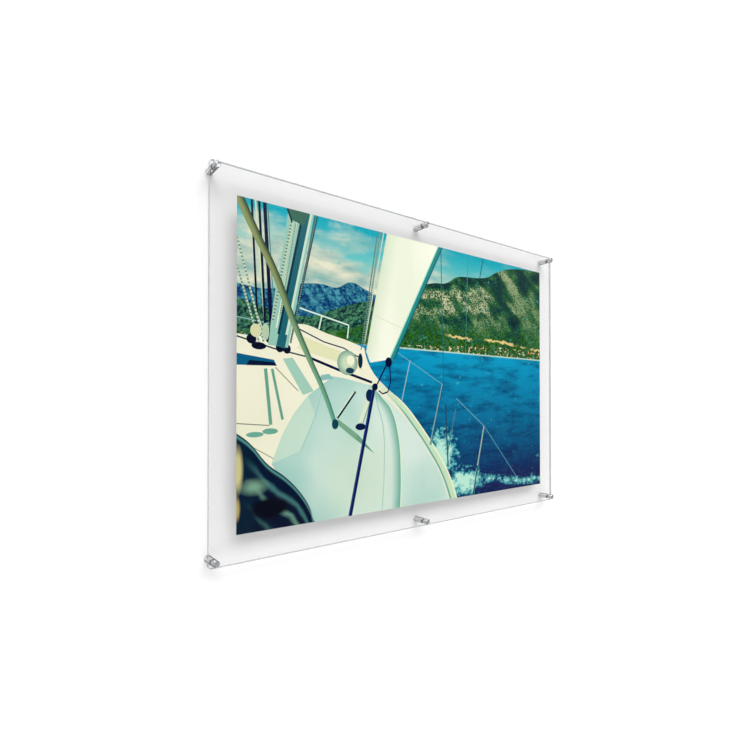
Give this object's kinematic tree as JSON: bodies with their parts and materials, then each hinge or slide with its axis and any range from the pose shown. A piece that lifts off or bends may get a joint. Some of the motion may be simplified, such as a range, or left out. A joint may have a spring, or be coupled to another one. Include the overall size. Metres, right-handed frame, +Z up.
{
  "type": "floating picture frame",
  "caption": "Wide rectangular print held between two clear acrylic panels that stand off the wall on round metal standoffs with screw-on caps.",
  "frame": {"origin": "on the wall plane, at the middle of the six standoffs", "axes": "+X along the wall, to the right as seen from the front; +Y into the wall; +Z up"},
  "size_m": [1.016, 0.0718, 0.7112],
  "materials": {
    "acrylic": "polished",
    "print_paper": "satin",
    "standoff_metal": "satin",
    "zinc_steel": "satin",
    "clear_washer": "satin"
  },
  "bodies": {
    "wall_and_panels": {"back_panel": "acrylic", "front_panel": "acrylic", "print_sheet": "print_paper", "barrel_top_left": "standoff_metal", "rear_washer_top_left": "clear_washer", "wall_screw_top_left": "zinc_steel", "barrel_top_middle": "standoff_metal", "rear_washer_top_middle": "clear_washer", "wall_screw_top_middle": "zinc_steel", "barrel_top_right": "standoff_metal", "rear_washer_top_right": "clear_washer", "wall_screw_top_right": "zinc_steel", "barrel_bottom_left": "standoff_metal", "rear_washer_bottom_left": "clear_washer", "wall_screw_bottom_left": "zinc_steel", "barrel_bottom_middle": "standoff_metal", "rear_washer_bottom_middle": "clear_washer", "wall_screw_bottom_middle": "zinc_steel", "barrel_bottom_right": "standoff_metal", "rear_washer_bottom_right": "clear_washer", "wall_screw_bottom_right": "zinc_steel"},
    "washer_top_left": {"front_washer_top_left": "clear_washer"},
    "cap_top_left": {"cap_top_left": "standoff_metal", "stud_top_left": "zinc_steel"},
    "washer_top_middle": {"front_washer_top_middle": "clear_washer"},
    "cap_top_middle": {"cap_top_middle": "standoff_metal", "stud_top_middle": "zinc_steel"},
    "washer_top_right": {"front_washer_top_right": "clear_washer"},
    "cap_top_right": {"cap_top_right": "standoff_metal", "stud_top_right": "zinc_steel"},
    "washer_bottom_left": {"front_washer_bottom_left": "clear_washer"},
    "cap_bottom_left": {"cap_bottom_left": "standoff_metal", "stud_bottom_left": "zinc_steel"},
    "washer_bottom_middle": {"front_washer_bottom_middle": "clear_washer"},
    "cap_bottom_middle": {"cap_bottom_middle": "standoff_metal", "stud_bottom_middle": "zinc_steel"},
    "washer_bottom_right": {"front_washer_bottom_right": "clear_washer"},
    "cap_bottom_right": {"cap_bottom_right": "standoff_metal", "stud_bottom_right": "zinc_steel"}
  },
  "joints": [
    {"name": "cap_top_left_travel", "type": "slide", "parent": "wall_and_panels", "child": "washer_top_left", "axis": [0, -1, 0], "range_m": [0, 0.01]},
    {"name": "cap_top_left_turn", "type": "hinge", "parent": "washer_top_left", "child": "cap_top_left", "pos_m": [-0.498, -0.0333, 0.3456], "axis": [0, -1, 0], "range_deg": [0, 2880]},
    {"name": "cap_top_middle_travel", "type": "slide", "parent": "wall_and_panels", "child": "washer_top_middle", "axis": [0, -1, 0], "range_m": [0, 0.01]},
    {"name": "cap_top_middle_turn", "type": "hinge", "parent": "washer_top_middle", "child": "cap_top_middle", "pos_m": [0, -0.0333, 0.3456], "axis": [0, -1, 0], "range_deg": [0, 2880]},
    {"name": "cap_top_right_travel", "type": "slide", "parent": "wall_and_panels", "child": "washer_top_right", "axis": [0, -1, 0], "range_m": [0, 0.01]},
    {"name": "cap_top_right_turn", "type": "hinge", "parent": "washer_top_right", "child": "cap_top_right", "pos_m": [0.498, -0.0333, 0.3456], "axis": [0, -1, 0], "range_deg": [0, 2880]},
    {"name": "cap_bottom_left_travel", "type": "slide", "parent": "wall_and_panels", "child": "washer_bottom_left", "axis": [0, -1, 0], "range_m": [0, 0.01]},
    {"name": "cap_bottom_left_turn", "type": "hinge", "parent": "washer_bottom_left", "child": "cap_bottom_left", "pos_m": [-0.498, -0.0333, -0.3456], "axis": [0, -1, 0], "range_deg": [0, 2880]},
    {"name": "cap_bottom_middle_travel", "type": "slide", "parent": "wall_and_panels", "child": "washer_bottom_middle", "axis": [0, -1, 0], "range_m": [0, 0.01]},
    {"name": "cap_bottom_middle_turn", "type": "hinge", "parent": "washer_bottom_middle", "child": "cap_bottom_middle", "pos_m": [0, -0.0333, -0.3456], "axis": [0, -1, 0], "range_deg": [0, 2880]},
    {"name": "cap_bottom_right_travel", "type": "slide", "parent": "wall_and_panels", "child": "washer_bottom_right", "axis": [0, -1, 0], "range_m": [0, 0.01]},
    {"name": "cap_bottom_right_turn", "type": "hinge", "parent": "washer_bottom_right", "child": "cap_bottom_right", "pos_m": [0.498, -0.0333, -0.3456], "axis": [0, -1, 0], "range_deg": [0, 2880]}
  ],
  "couplings": [
    {"joint": "cap_top_left_travel", "follows": "cap_top_left_turn", "m_per_rad": 0.00019894},
    {"joint": "cap_top_middle_travel", "follows": "cap_top_middle_turn", "m_per_rad": 0.00019894},
    {"joint": "cap_top_right_travel", "follows": "cap_top_right_turn", "m_per_rad": 0.00019894},
    {"joint": "cap_bottom_left_travel", "follows": "cap_bottom_left_turn", "m_per_rad": 0.00019894},
    {"joint": "cap_bottom_middle_travel", "follows": "cap_bottom_middle_turn", "m_per_rad": 0.00019894},
    {"joint": "cap_bottom_right_travel", "follows": "cap_bottom_right_turn", "m_per_rad": 0.00019894}
  ]
}
